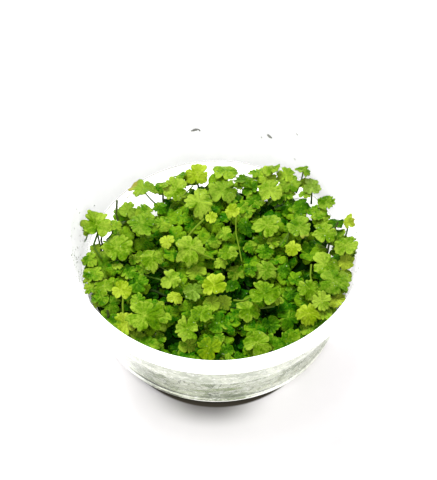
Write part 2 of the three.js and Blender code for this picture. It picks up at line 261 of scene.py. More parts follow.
# Seeds of the other leaves' habits and petioles, to which each adds its own number
PETIOLE_SEED = 1000
LOW_HABIT_SEED = 200
LOW_PETIOLE_SEED = 300
WALL_HABIT_SEED = 400

# The low leaves that are seen one by one
LOW_LEAVES = [
    (-16.7, 27, 28, 5, 140, 55, 130, 0.35),
    (3, 32.3, 26, 8.4, 70, 45, 70, 0.55),
    (-18, 18, 27, 5, 60, 15, 270, 0.15),
    (-17, 12, 27, 6, 60, 12, 270, 0.5),
    (-10, 13.5, 24, 9, 100, 10, 280, 0.15),
    (10.2, 17, 25, 5.5, 20, 12, 270, 0.45),
    (9.3, 10, 23.5, 8, 250, 10, 270, 0.0),
    (15, 0.8, 26, 6.5, 270, 12, 270, 0.3),
    (23, 19, 24, 9, 40, 10, 270, 0.12),
    (30.2, 1.8, 24, 7.5, 300, 10, 270, 0.08),
    (17.8, 4.7, 26, 5, 45, 12, 270, 1.1),
    (-24, 3.5, 22.5, 7, 180, 8, 270, 0.0),
    (-22.6, -5.5, 24, 5.5, 330, 12, 270, 0.45),
    (-24.5, -10.5, 25.5, 8, 20, 12, 270, 0.0),
    (-33, -18.5, 24.5, 7, 280, 10, 270, 0.1),
    (-19, -32, 24, 7.5, 270, 12, 270, 0.45),
    (-6.5, -7, 25, 7, 260, 12, 270, 0.75),
    (-2, -18.5, 26, 6.2, 200, 12, 270, 0.65),
    (2.3, -18, 25, 5.5, 80, 10, 270, 1.0),
    (0.5, -26, 25, 8, 240, 10, 270, 0.3),
    (-9, -34, 24.5, 7.5, 200, 10, 270, 0.75),
    (3, -36, 24, 6, 280, 12, 270, 0.25),
    (5.7, -6.5, 24, 6.5, 120, 10, 270, 0.45),
    (21, -6, 25, 6.5, 0, 12, 270, 0.15),
    (22.8, -15, 23.5, 6, 200, 10, 270, 0.15),
    (22, -24, 25, 8, 250, 12, 270, 0.05),
    (17, -26, 24, 7, 60, 8, 270, 0.18),
    (33, -23, 24, 5.5, 330, 10, 270, 0.4),
    (2.6, 8, 27, 5, 60, 15, 270, 0.5),
    (-0.5, 5, 26, 5, 20, 12, 270, 0.4),
    (1.2, -3, 27, 5, 90, 20, 270, 0.9),
    (10.5, 2.8, 24, 5, 180, 12, 270, 0.4),
    (12, 22, 25, 5.5, 40, 15, 270, 0.25),
    (37.6, 12.4, 26.5, 5.8, 90, 20, 80, 0.0),
    (-38.5, 2, 26, 4, 200, 50, 250, 0.9),
    (-41, 8.5, 27.5, 3.4, 240, 20, 200, 0.45),
    (-32, 11, 29, 5, 0, 15, 300, 0.4),
    (-26, -2, 25, 4, 120, 12, 270, 0.2),
    (-31, -4, 26, 4, 90, 35, 80, 1.1),
    (-37, -17, 24, 6, 200, 15, 200, 0.7),
    (-16, -23.5, 28, 5, 20, 12, 270, 0.6),
    (-17.5, -18.8, 28, 3.2, 60, 15, 270, 0.65),
    (0.7, -31, 25, 4, 90, 12, 270, 0.6),
    (10.5, -6, 27, 5, 150, 12, 270, 0.15),
    (4.5, -12, 24, 5, 250, 12, 270, 0.0),
    (27.5, -27, 25, 4, 30, 12, 270, 0.2),
    (17, -32, 26, 5, 250, 12, 270, 0.65),
    (19.3, -17, 28, 3.5, 90, 12, 270, 1.1),
    (32.2, 15.6, 25.5, 6.5, 20, 12, 270, 0.35),
    (26.8, 18.6, 25.5, 7, 100, 12, 270, 0.0),
    (33.2, 11.8, 25, 6, 150, 12, 270, 0.4),
    (26.4, 15.2, 25.5, 4.5, 60, 12, 270, 0.35),
    (22.2, 23.5, 24.5, 6.5, 90, 12, 270, 0.3),
    (38.8, -12.8, 26, 5, 10, 10, 180, 0.85),
    (40.2, -7.5, 25, 4.6, 60, 10, 180, 0.8),
    (41.5, 0.5, 25.5, 5, 330, 10, 180, 0.5),
    (12.4, 20.8, 25, 7.5, 60, 10, 270, 0.25),
    (10.4, 25.6, 26, 6, 120, 10, 270, 0.35),
    (5.4, 21.6, 25, 6, 20, 10, 270, 0.3),
    (18.8, 21.4, 25, 6, 100, 10, 270, 0.0),
    (16.2, 29.6, 26.5, 6.5, 100, 15, 100, 1.0),
    (28.2, 23.2, 26, 4.6, 60, 15, 100, 0.6),
    (-11.8, 30.4, 26, 4.6, 140, 50, 130, 0.4),
    (12.4, 31.2, 26, 5, 160, 40, 120, 0.45),
    (22.4, 30.8, 26, 7, 70, 20, 80, 0.85),
    (7.6, 27.6, 25.5, 5.5, 110, 20, 90, 0.45),
    (28.6, 26.8, 25.5, 5.5, 150, 20, 90, 0.65),
    (-27.6, -6.4, 25.4, 6.6, 60, 10, 270, 0.2),
    (-40.2, -2, 26, 5.4, 190, 8, 200, 0.3),
    (-40, -7, 25.5, 5.4, 160, 8, 200, 0.15),
    (-39.2, -12.4, 25, 5.4, 200, 8, 220, 0.5),
    (-23, 16.4, 27, 6.5, 60, 12, 270, 0.5),
    (-24.5, -17, 28.2, 5, 100, 8, 270, 0.55),
    (-4.5, 22.5, 26.5, 6, 100, 12, 270, 0.55),
]

# Leaves that press against the wall at the front and the sides
WALL_ROW_SEED = 12
WALL_ROW_START = 182
WALL_ROW_END = 378
WALL_ROW_STEP = 7

# Understory: levels of small leaves from the gel up to the low leaves, each with its count,
# lowest and highest place, least and largest span, darkest and lightest tone, and the share
# of the bare strip that it leaves free.
UNDERSTORY_SEED = 41
# The lower a level, the darker its tones: painted shade deep in the thicket
UNDERSTORY_LEVELS = [
    (130, 19.6, 20.8, 6.5, 9.0, 0.05, 0.22, 1.0),
    (140, 21.2, 23.0, 6.0, 9.0, 0.27, 0.52, 0.8),
    (140, 23.6, 25.6, 5.5, 8.0, 0.42, 0.75, 0.6),
]

# Dark gaps, looked down into between the leaves: x, y as read, radius. Understory levels that
# start above GAP_FLOOR, in millimetres, leave them free.
GAP_FLOOR = 21
GAPS = [
    (-18, -7, 2.2),
    (-19, -14.5, 2.8),
    (6.6, -1.8, 1.8),
    (10, -0.2, 1.8),
    (2.8, -6.8, 1.5),
    (5.3, -14.5, 2),
    (5.7, -18.3, 2.4),
    (9.3, 10, 2.8),
    (5.6, 12, 1.2),
    (24.6, -2.8, 2.6),
    (29.2, -8, 2.8),
    (-13.2, -32.2, 2),
    (-8.2, -31.8, 2),
    (5.9, -36.3, 2.4),
    (7.2, -30.5, 1.1),
    (15, -24, 2.4),
    (-31.5, -20.8, 2.4),
    (-28.7, -1, 0.9),
    (-37, -8.5, 1.8),
    (10.8, 25, 2),
    (16.9, 18.5, 1.8),
    (-6.9, 25.1, 1.4),
    (-17, 17.9, 1.8),
    (-22.5, 20.3, 3.0),
    (-26.5, 21.5, 2.2),
    (-16.5, 22, 1.8),
    (8.8, 23.3, 0.9),
    (16.6, 21.4, 0.9),
    (25.4, 22.1, 1.4),
    (35.7, -16.7, 1.2),
    (18.1, -34.2, 2),
    (-18.4, -34.6, 2.2),
    (25.8, 22.8, 1.0),
    (29.2, 17.4, 0.7),
    (29.2, 13.9, 0.6),
    (-35.6, 3.5, 1.2),
    (-38, 4.6, 1.0),
    (36.9, -0.3, 1.3),
]

# Petioles and stems seen between the leaves: points read on the level of READING_HEIGHT,
# then the height of the first and the last, the radius and the finish.
SEEN_STALKS = [
    ([(-36, 7), (-36.4, 5), (-35.8, 2.5)], 29, 24, 0.3, "brown"),
    ([(-17.2, 23), (-17, 19)], 27, 24, 0.32, "brown"),
    ([(-4, 13.2), (-7, 9.6), (-9.6, 5.8)], 30.5, 28, 0.34, "lime"),
    ([(6.2, 15), (6, 11.5), (6, 8), (6.4, 5.5), (7.2, 1), (7.8, -3)], 29.5, 26, 0.21, "lime"),
    ([(-8, 2), (-4.5, -0.2), (-0.6, -2.2)], 30.2, 28, 0.28, "lime"),
    ([(28.6, 14), (28.2, 10), (28, 5.5)], 27, 24, 0.24, "pale"),
    ([(34.8, 0.5), (35.6, 6), (38.2, 12)], 25.5, 29, 0.32, "brown"),
    ([(-29, -15.5), (-29.2, -19), (-29, -23)], 27.5, 25, 0.34, "lime"),
    ([(17.6, 20.4), (16.2, 18.6)], 27, 25, 0.22, "pale"),
    ([(19.8, 3), (21.6, 6), (23.2, 8.6)], 27, 27, 0.2, "pale"),
    ([(-31.6, 20.4), (-31.8, 15), (-30.6, 10)], 29, 24.5, 0.32, "brown"),
    ([(-34, -21), (-33.6, -23), (-34.2, -25.4)], 25, 23, 0.4, "brown"),
    ([(-21, -2), (-17, -5.5), (-14, -7.6)], 25, 25.5, 0.22, "pale"),
    ([(-25, -7.5), (-20, -9), (-16.5, -10.2)], 24, 25, 0.3, "green"),
    ([(-13, 20.5), (-10.5, 22.4), (-7.6, 26)], 26, 28, 0.22, "pale"),
    ([(23, 9), (22, 4), (21.8, 0)], 25.5, 25, 0.26, "green"),
    ([(29.6, -4), (29.2, -8), (29.6, -11)], 27, 26, 0.3, "lime"),
    ([(11, -16), (8, -17.6), (5.2, -17.4)], 27, 26, 0.3, "lime"),
    ([(18, -19.6), (13.6, -20.4), (10, -22.4)], 26.5, 25, 0.24, "pale"),
    ([(-36, -2), (-38.8, 3), (-37.4, 8)], 26, 28, 0.3, "green"),
    ([(-6, -33), (-5.6, -36), (-5.4, -38)], 25, 23, 0.3, "green"),
]

# Marks on the inside of the wall: radius, then compass direction and height of each point
WALL_MARKS = [
    (0.22, [(100.5, 32.0), (99.5, 32.5), (98.5, 32.6), (97.5, 32.3), (97, 31.7)]),
    (0.32, [(99.9, 32.2), (98.9, 32.4), (98.2, 32.3)]),
    (0.3, [(68.9, 33.0), (67.9, 32.7), (66.9, 32.2)]),
    (0.34, [(68.3, 32.7), (67.5, 32.4)]),
    (0.12, [(71.5, 31.2), (71, 30.8)]),
    (0.1, [(57, 38), (56, 37.6)]),
    (0.1, [(55.4, 27.9), (55, 27.4)]),
]

# Larger air bubbles at the side of the gel: compass direction, height, radius
SEEN_BUBBLES = [
    (296, 17, 1.0),
    (300.5, 14.6, 0.5),
    (287, 15.5, 0.6),
    (262, 11.2, 0.5),
    (252, 8.6, 0.6),
    (240, 13, 0.45),
    (312, 10, 0.7),
    (318, 14.5, 0.8),
    (309, 16.2, 0.5),
    (277, 15.8, 0.4),
]

# Creeping stems: how many, points on each, radius, pace between points
STEM_SEED = 7
STEM_COUNT = 26
STEM_POINTS = 14
STEM_RADIUS = 0.00045
STEM_PACE = 0.0022
STEM_LEVELS = (GEL_TOP + 0.0014, 0.022)

# Roots at the side of the gel and on its top: how many, radius, depth in from the wall
ROOT_SEED = 23
SIDE_ROOTS = 46
SIDE_ROOT_RADIUS = 0.00007
SIDE_ROOT_INSET = 0.00042
TOP_ROOTS = 24
TOP_ROOT_RADIUS = 0.00012
TOP_ROOT_PACE = 0.0009

# Small bubbles at the side of the gel, and drops of condensation on the wall
BUBBLE_SEED = 31
BUBBLE_COUNT = 60
BUBBLE_RADII = (0.2, 0.25, 0.3, 0.4, 0.55)
DROP_SEED = 77
DROP_COUNT = 150
DROP_RADII = (0.12, 0.16, 0.2, 0.3)


def wall_radius(z):
    """Inside radius of the cup's straight tapered wall at a height."""
    part = (z - WALL_FOOT) / (MOUTH_EDGE - WALL_FOOT)
    return WALL_FOOT_RADIUS + (MOUTH_RADIUS - WALL_FOOT_RADIUS) * part


# Shader nodes written as expressions
def worked(operation, swapped=False):
    """A method of Wire that adds a Math node; swapped, for a wire to the right of the sign."""
    def method(wire, other):
        values = (other, wire) if swapped else (wire, other)
        return wire.finish.math(operation, *values)
    return method


class Wire:
    """What comes out of a shader node. Arithmetic on it adds Math nodes."""

    __add__ = worked("ADD")
    __radd__ = worked("ADD", swapped=True)
    __sub__ = worked("SUBTRACT")
    __rsub__ = worked("SUBTRACT", swapped=True)
    __mul__ = worked("MULTIPLY")
    __rmul__ = worked("MULTIPLY", swapped=True)
    __truediv__ = worked("DIVIDE")
    __rtruediv__ = worked("DIVIDE", swapped=True)
    __pow__ = worked("POWER")
    __rpow__ = worked("POWER", swapped=True)
    least = worked("MINIMUM")
    most = worked("MAXIMUM")

    def __init__(self, finish, socket):
        self.finish = finish
        self.socket = socket

    def math(self, operation, *others):
        return self.finish.math(operation, self, *others)

    def __neg__(self):
        return self * -1

    def __abs__(self):
        return self.math("ABSOLUTE")


def distance(x, y):
    return (x * x + y * y) ** 0.5


class Finish:
    """A material under construction, whose patterns follow the place on the object."""

    def __init__(self, name):
        self.material = bpy.data.materials.new(name)
        self.material.use_nodes = True
        self.tree = self.material.node_tree
        self.tree.nodes.clear()
        self.place = self.add("TexCoord", output="Object")
        self.x, self.y, self.z = self.parts(self.place)

    def add(self, kind, settings=None, sockets=None, output=0):
        """A node with its settings, then its sockets' links or values. A colour is a tuple."""
        node = self.tree.nodes.new("ShaderNode" + kind)
        for setting, value in (settings or {}).items():
            if setting == "stops":
                self.set_stops(node.color_ramp, value)
            else:
                setattr(node, setting, value)
        for key, value in (sockets or {}).items():
            if isinstance(value, Wire):
                self.tree.links.new(value.socket, node.inputs[key])
            else:
                node.inputs[key].default_value = (*value, 1) if isinstance(value, tuple) else value
        return Wire(self, node.outputs[output])

    def set_stops(self, ramp, stops):
        while len(ramp.elements) < len(stops):
            ramp.elements.new(1)
        for element, (position, colour) in zip(ramp.elements, stops):
            element.position = position
            element.color = (*colour, 1)

    def math(self, operation, *values):
        return self.add("Math", {"operation": operation}, dict(enumerate(values)))

    def parts(self, place):
        """The three numbers of a place."""
        node = self.add("SeparateXYZ", None, {0: place}).socket.node
        return [Wire(self, socket) for socket in node.outputs]

    def layer(self, name):
        """A number that the mesh holds at each point."""
        return self.add("Attribute", {"attribute_name": name}, output="Fac")

    def rise(self, value, low, high):
        """0 below low, 1 above high, smooth between."""
        sockets = {"Value": value, "From Min": low, "From Max": high}
        return self.add("MapRange", {"interpolation_type": "SMOOTHSTEP"}, sockets)

    def fall(self, value, low, high):
        """1 below low, 0 above high, smooth between."""
        return 1 - self.rise(value, low, high)

    def blend(self, share, first, second):
        """A colour between two, by a share from 0 to 1."""
        return self.add("Mix", {"data_type": "RGBA"}, {0: share, 6: first, 7: second}, output=2)

    def coats(self, colour, *coats):
        """A colour with others laid over it in turn, each by its share from 0 to 1."""
        for share, coat in coats:
            colour = self.blend(share, colour, coat)
        return colour

    def noise(self, scale, detail=2, roughness=0.5, place=None):
        sockets = {"Vector": place or self.place, "Scale": scale, "Detail": detail, "Roughness": roughness}
        return self.add("TexNoise", None, sockets)

    def cells(self, scale, feature="F1"):
        """Distance to the middle of the nearest cell, or to the edge between cells."""
        return self.add("TexVoronoi", {"feature": feature}, {"Vector": self.place, "Scale": scale})

    def bump(self, height, strength, depth):
        return self.add("Bump", None, {"Height": height, "Strength": strength, "Distance": depth})

    def skin(self, sockets):
        return self.add("BsdfPrincipled", None, sockets)

    def done(self, surface):
        output = self.tree.nodes.new("ShaderNodeOutputMaterial")
        self.tree.links.new(surface.socket, output.inputs["Surface"])
        return self.material

    def done_thin(self, skin, share, colour):
        """A finish that lets a share of the light through, in a colour."""
        through = self.add("BsdfTranslucent", None, {"Color": colour})
        return self.done(self.add("MixShader", None, {0: share, 1: skin, 2: through}))


# Finishes
def leaf_finish(name, dark, body, bright, glow, through):
    """Leaf tissue: paler veins on a mottled blade, margins painted lighter, painted glints, moist sheen,
    light coming through.
    """
    f = Finish(name)
    u, v, _ = f.parts(f.add("UVMap", {"uv_map": "blade"}))
    x = u - 0.5
    y = v - 0.5
    reach = distance(x, y)
    lobe_turn = math.radians(LOBE_TURN)
    turn = abs(y.math("ARCTAN2", x))
    offset = abs(turn - (turn / lobe_turn).math("ROUND") * lobe_turn)
    along = reach * offset.math("COSINE")
    aside = reach * offset.math("SINE")

    def side_vein(start, slant, width):
        """1 on a vein that leaves a lobe's midrib at a distance from the joint."""
        off = abs(aside * math.cos(slant) - (along - start) * math.sin(slant))
        return f.fall(off, 0.002, width)

    veins = f.fall(aside, 0.003, 0.014).most(side_vein(0.05, 0.62, 0.012))
    veins = veins.most(side_vein(0.2, 0.45, 0.01) * 0.7) * f.fall(reach, 0.36, 0.5)
    net = f.cells(1050, "DISTANCE_TO_EDGE")
    mottle = f.noise(520, 4, 0.7)
    grain = f.noise(1250, 3, 0.65)
    patches = f.noise(170)
    shine = f.noise(850, 2, 0.6)
    light = f.layer("tone") + (mottle - 0.5) * 1.4 + (grain - 0.5) * 0.7 + (patches - 0.5) * 0.9
    light = light + veins * 0.16 + f.fall(net, 0.03, 0.16) * 0.14
    # The margins are painted lighter, as if lit at their edges
    light = light + f.rise(f.layer("edge"), 0.8, 1) * 0.12 + f.fall(reach, 0.015, 0.06) * 0.3
    faded = f.rise(f.layer("wilt") + (mottle - 0.5) * 0.9, 0.35, 0.85)
    # Painted glints: small pale spots laid into the colour
    painted_sparkle = f.fall(f.cells(1000), 0.12, 0.34) * f.rise(shine, 0.6, 0.66)
    colour = f.coats(
        f.add("ValToRGB", {"stops": [(0, dark), (0.5, body), (1, bright)]}, {"Fac": light}),
        (faded * 0.85, (0.36, 0.32, 0.055)),
        (painted_sparkle * 0.6, (0.5, 0.57, 0.33)),
    )
    skin = f.skin({
        "Base Color": colour,
        "Roughness": 0.3 + f.rise(f.noise(260), 0.42, 0.62) * 0.2 - painted_sparkle * 0.2,
        "IOR": 1.4,
        "Specular IOR Level": 0.12,
        "Specular Tint": (0.75, 1, 0.15),
        "Normal": f.bump(mottle * 0.5 + net * 0.5 + shine * 0.2 - veins * 0.3, 1.0, 0.0005),
    })
    return f.done_thin(skin, through, glow)


def stalk_finish(name, low, high, through, gloss):
    """Petioles and stems: paler above, darker to the gel, slightly glossy."""
    f = Finish(name)
    spots = f.noise(300)
    share = f.rise(f.z, 0.019, 0.027) + (spots - 0.5) * 0.5
    skin = f.skin({
        "Base Color": f.blend(share.most(0).least(1), low, high),
        "Roughness": 0.35 + spots * 0.2,
        "Specular IOR Level": gloss,
        "Normal": f.bump(f.noise(1800, 2, 0.6), 0.3, 0.0001),
    })
    return f.done_thin(skin, through, high)


def plain_finish(name, colour, roughness, alpha=1.0):
    """A small moist thing of one colour."""
    f = Finish(name)
    darker = tuple(0.8 * part for part in colour)
    return f.done(f.skin({
        "Base Color": f.blend(f.noise(700), darker, colour),
        "Roughness": roughness,
        "Alpha": alpha,
        "IOR": 1.34,
    }))


def side_turn(f):
    """Angle round the cup from its front, above 0 to the viewer's right."""
    return f.x.math("ARCTAN2", -f.y)


def far_side(f):
    """1 at the back of the cup, 0 at its front and sides."""
    return f.rise(abs(side_turn(f)), 1.7, 2.1)


def gel_colour(f):
    """Colour of the cloudy gel, with green clots and dark specks, painted shade in its creases and in
    notches at the foot, paler to the right and painted near white at the sides, and the height of its folds.
    """
    swirl = f.noise(160)
    bent = f.add("CombineXYZ", None, {0: f.x, 1: f.y, 2: f.z * 1.7 + swirl * 0.012})
    clouds = f.noise(95, 4, 0.62, bent)
    wrinkles = f.noise(330, 4, 0.7, bent)
    # The creases are painted darker in the colour below, as shade
    painted_crease_shade = abs(f.noise(150, 3, 0.6, bent) - 0.5)
    flecks = f.noise(700, 3, 0.7)
    turn = side_turn(f)

    def patch(direction, height, width, tall):
        """1 inside a soft oval on the gel's side, at degrees from the front to the right."""
        aside = (turn - math.radians(direction)) / math.radians(width)
        above = (f.z - height * MM) / (tall * MM)
        return f.fall(aside * aside + above * above, 0.3, 1.3)

    clots = patch(4, 10.6, 9, 1.5).most(patch(-7, 8.6, 6, 1.1)) * f.rise(wrinkles, 0.4, 0.6)
    # Painted shadow: dark notches at the foot, left of the front
    painted_notch_shadow = patch(-27, 2.4, 14, 0.8) * f.rise(flecks + wrinkles * 0.6, 0.66, 0.8)
    # Paler and greyer towards the right; near white at the foot right of the front and at the sides, painted
    # light
    right = f.rise(turn, 0.5, 1.0) * 0.55 * (1 - f.rise(wrinkles, 0.56, 0.64) * 0.5)
    painted_light_low_right = f.rise(turn, 0.2, 0.4) * f.fall(turn, 0.6, 0.8) * f.fall(f.z, 0.0035, 0.005)
    sides = f.rise(turn, 1.05, 1.3).most(f.rise(-turn, 0.4, 0.95)) * (1 - far_side(f) * 0.7)
    colour = f.coats(
        (0.5, 0.53, 0.4),
        (f.rise(clouds, 0.44, 0.58), (0.2, 0.24, 0.13)),
        (f.rise(wrinkles, 0.5, 0.6) * 0.85, (0.66, 0.68, 0.58)),
        (f.fall(painted_crease_shade, 0.004, 0.03) * 0.8, (0.1, 0.12, 0.07)),
        (f.rise(flecks, 0.58, 0.66) * 0.8, (0.85, 0.86, 0.82)),
        (f.fall(flecks, 0.3, 0.36) * 0.9, (0.05, 0.06, 0.04)),
        (clots * 0.8, (0.2, 0.29, 0.05)),
        (painted_notch_shadow, (0.05, 0.05, 0.035)),
        (right, (0.55, 0.55, 0.52)),
        (painted_light_low_right * 0.5, (0.85, 0.85, 0.82)),
        (sides * 0.85, (0.88, 0.89, 0.86)),
    )
    return colour, clouds + wrinkles * 0.5


def plastic_finish():
    """Milky moulded plastic: white at the rim, fogged down to the gel, which shows in the heel, with painted
    shadow and painted light at the foot and painted light under the lip.
    """
    f = Finish("milky_plastic")
    gel, _ = gel_colour(f)
    haze = f.noise(60, 3, 0.55)
    turn = side_turn(f)
    lip = f.rise(distance(f.x, f.y), MOUTH_RADIUS + 0.0009, MOUTH_RADIUS + 0.0014)
    # Painted light that lifts the shade under the lip, next to the wall
    painted_lip_light = lip * f.fall(f.z, LIP_FOOT + 0.0002, LIP_FOOT + 0.0009)
    rim = lip.most(f.rise(f.z, CUP_HEIGHT - 0.0009, CUP_HEIGHT - 0.0004))
    right_end = f.fall(turn, 0.35, 0.6)
    shaded = f.fall(f.z, 0.0015, 0.0018) * f.rise(turn, -0.95, -0.5) * right_end
    # Painted highlight: a thin bright glowing line on the foot, above the painted shadow
    line = f.rise(f.z, 0.0017, 0.0019) * f.fall(f.z, 0.0021, 0.0024)
    line = line * f.rise(turn, -0.3, -0.15) * right_end
    heel = f.fall(f.z, 0.0047, 0.0055)
    fog = f.rise(f.z, GEL_TOP - 0.0002, GEL_TOP + 0.0012)
    damp = fog * f.rise(f.noise(500, 3, 0.6), 0.42, 0.58) * f.fall(f.cells(1100), 0.2, 0.45) * (1 - rim)
    damp = damp * f.fall(f.y, -0.02, 0.005)
    smear = fog * (1 - rim) * f.fall(f.y, -0.03, -0.012)
    wall = WALL_ALPHA + (haze - 0.5) * 0.08 + fog * FOG_ALPHA + damp * 0.25 + smear * 0.3
    solid = rim.most(heel * 0.92)
    colour = f.coats(
        (0.64, 0.645, 0.65),
        (rim.most(fog * 0.6), (0.95, 0.955, 0.95)),
        (damp * 0.9, (0.46, 0.5, 0.41)),
        (smear * 0.85, f.blend(0.25, gel, (0.95, 0.95, 0.92))),
        (heel * 0.88, gel),
        (line, (0.95, 0.95, 0.94)),
        (shaded, (0.03, 0.027, 0.018)),
    )
    # Painted glow: the heel and the smear shine in the gel's colour, the line and the underside of the lip
    # in white
    glow = f.coats(
        (0, 0, 0),
        ((heel - shaded).most(smear * 0.5), gel),
        (line, (1.2, 1.19, 1.15)),
        (painted_lip_light, (1.65, 1.65, 1.62)),
    )
    return f.done(f.skin({
        "Base Color": colour,
        "Emission Color": glow,
        "Emission Strength": 0.5,
        "Roughness": 0.24 + haze * 0.14,
        "IOR": 1.49,
        "Alpha": solid + (1 - solid) * wall,
        "Normal": f.bump(damp + haze * 0.2, 0.35, 0.0002),
    }))


def gel_finish():
    """Wet gel, pale at its top; its top and side glow with painted light."""
    f = Finish("culture_gel")
    side, folds = gel_colour(f)
    inset = wall_radius(f.z) - distance(f.x, f.y)
    top = f.rise(inset, GEL_GAP + 0.00006, GEL_GAP + 0.0002) * f.rise(f.z, GEL_TOP - 0.001, GEL_TOP - 0.0002)
    # Painted light: the top glows bright at the back and dim at the front, the side glows most at its foot
    # and not at the back
    lit_top = f.blend(f.rise(f.y, -0.004, 0.012), (0.1, 0.1, 0.09), (1.3, 1.3, 1.28))
    lit_side = (0.42 + f.fall(f.z, 0.0042, 0.0075) * 0.58) * (1 - far_side(f))
    return f.done(f.skin({
        "Base Color": f.blend(top * 0.85, side, (0.92, 0.93, 0.88)),
        "Emission Color": f.coats((0, 0, 0), (lit_side, side), (top, lit_top)),
        "Emission Strength": 0.5,
        "Roughness": 0.2,
        "IOR": 1.34,
        "Normal": f.bump(folds, 0.6, 0.0006),
    }))


def paper_finish():
    """White table top, with a painted dark contact shadow and soft shade at the cup's front foot, painted
    shade behind the cup, and painted light in a ring round it.
    """
    f = Finish("white_ground")
    # Painted shadow on the ground: the dark contact shadow, the near and wide soft shade at the front foot,
    # and the grey shade behind the cup
    reach = distance(f.x, f.y + CONTACT_SHIFT)
    contact = f.fall(reach, CONTACT_RADIUS - 0.0003, CONTACT_RADIUS + 0.0004)
    near = f.fall(reach, CONTACT_RADIUS - 0.0005, CONTACT_RADIUS + 0.0085)
    near = near * f.fall(abs(f.x + 0.003), 0.002, 0.022)
    wide = f.fall(reach, CONTACT_RADIUS + 0.004, CONTACT_RADIUS + 0.0175)
    wide = wide * f.fall(abs(f.x + 0.014), 0.008, 0.034)
    behind = f.fall(distance(f.x, f.y - SHADE_BEHIND), SHADE_RADIUS - 0.0008, SHADE_RADIUS + 0.0008)
    behind = behind * f.fall(f.x, 0.036, 0.043)
    return f.done(f.skin({
        "Base Color": f.coats(
            (0.7, 0.685, 0.695),
            (f.noise(300), (0.72, 0.705, 0.715)),
            # Painted light: a lighter ring round the cup, against the cup's shade
            (f.fall(distance(f.x, f.y), 0.044, 0.07), (0.84, 0.818, 0.836)),
            (behind, (0.46, 0.457, 0.46)),
            (wide * 0.09, GROUND_SHADE),
            (near * 0.8, GROUND_SHADE),
            (contact, (0.055, 0.048, 0.035)),
        ),
        "Roughness": 0.9,
        "Specular IOR Level": 0.1,
    }))


PLASTIC = plastic_finish()
GEL = gel_finish()
LEAF_FINISHES = {tissue: leaf_finish(f"leaf_{tissue}", *look) for tissue, look in TISSUES.items()}
STALK_FINISHES = {name: stalk_finish(name, *look) for name, look in STALKS.items()}
ROOT = plain_finish("root", (0.85, 0.84, 0.76), 0.3)
BUBBLE = plain_finish("bubble", (0.9, 0.92, 0.88), 0.05, 0.55)
DROP = plain_finish("drop", (0.32, 0.34, 0.3), 0.05, 0.6)
TRACE = plain_finish("trace", (0.19, 0.19, 0.175), 0.3)
PETIOLE = STALK_FINISHES["petiole"]


# Modelling helpers
def new_object(name, data):
    item = bpy.data.objects.new(name, data)
    bpy.context.scene.collection.objects.link(item)
    return item


def deselect_all():
    for item in bpy.context.selected_objects:
        item.select_set(False)


def pick(piece):
    deselect_all()
    piece.select_set(True)
    bpy.context.view_layer.objects.active = piece


def joined(name, parts):
    deselect_all()
    for part in parts:
        part.select_set(True)
    bpy.context.view_layer.objects.active = parts[0]
    if len(parts) > 1:
        bpy.ops.object.join()
    piece = bpy.context.view_layer.objects.active
    piece.name = name
    piece.data.name = name
    return piece


def clean_shell(piece):
    """Merges doubled points and turns all faces outwards."""
    pick(piece)
    bpy.ops.object.mode_set(mode="EDIT")
    bpy.ops.mesh.select_all(action="SELECT")
    bpy.ops.mesh.remove_doubles(threshold=1e-6)
    bpy.ops.mesh.normals_make_consistent(inside=False)
    bpy.ops.object.mode_set(mode="OBJECT")


def dress(piece, finish, angle=None):
    """Smooth shading, with edges past an angle kept sharp where one is given, and a finish."""
    pick(piece)
    if angle is None:
        bpy.ops.object.shade_smooth()
    else:
        bpy.ops.object.shade_smooth_by_angle(angle=math.radians(angle))
    piece.data.materials.clear()
    piece.data.materials.append(finish)


def turned(name, profile, steps):
    """A profile of (radius, height) points, spun round the Z axis and closed at its poles."""
    mesh = bpy.data.meshes.new(name)
    points = [(r, 0, z) for r, z in profile]
    mesh.from_pydata(points, [(i, i + 1) for i in range(len(points) - 1)], [])
    piece = new_object(name, mesh)
    pick(piece)
    bpy.ops.object.mode_set(mode="EDIT")
    bpy.ops.mesh.select_all(action="SELECT")
    bpy.ops.mesh.spin(steps=steps, angle=FULL_TURN, center=(0, 0, 0), axis=(0, 0, 1))
    bpy.ops.object.mode_set(mode="OBJECT")
    clean_shell(piece)
    return piece


def arc(centre, radius, start, end, steps):
    """Points of (radius, height) round a corner, between two angles in degrees."""
    turns = [math.radians(start + (end - start) * i / steps) for i in range(steps + 1)]
    return [(centre[0] + radius * math.cos(t), centre[1] + radius * math.sin(t)) for t in turns]


def tubes(name, paths, sides, finish):
    """Closed tubes, one for each path; a path is a list of (point, radius)."""
    curve = bpy.data.curves.new(name, "CURVE")
    curve.dimensions = "3D"
    curve.bevel_depth = 1
    curve.bevel_resolution = max(0, sides // 2 - 2)
    curve.use_fill_caps = True
    for path in paths:
        spline = curve.splines.new("POLY")
        spline.points.add(len(path) - 1)
        for point, (place, radius) in zip(spline.points, path):
            point.co = (*place, 1)
            point.radius = radius
    pick(new_object(name, curve))
    bpy.ops.object.convert(target="MESH")
    piece = bpy.context.view_layer.objects.active
    clean_shell(piece)
    dress(piece, finish)
    return piece


def finished(piece, node):
    """Puts a piece on the body and in place of its solid."""
    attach(piece, "root")
    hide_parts(node)


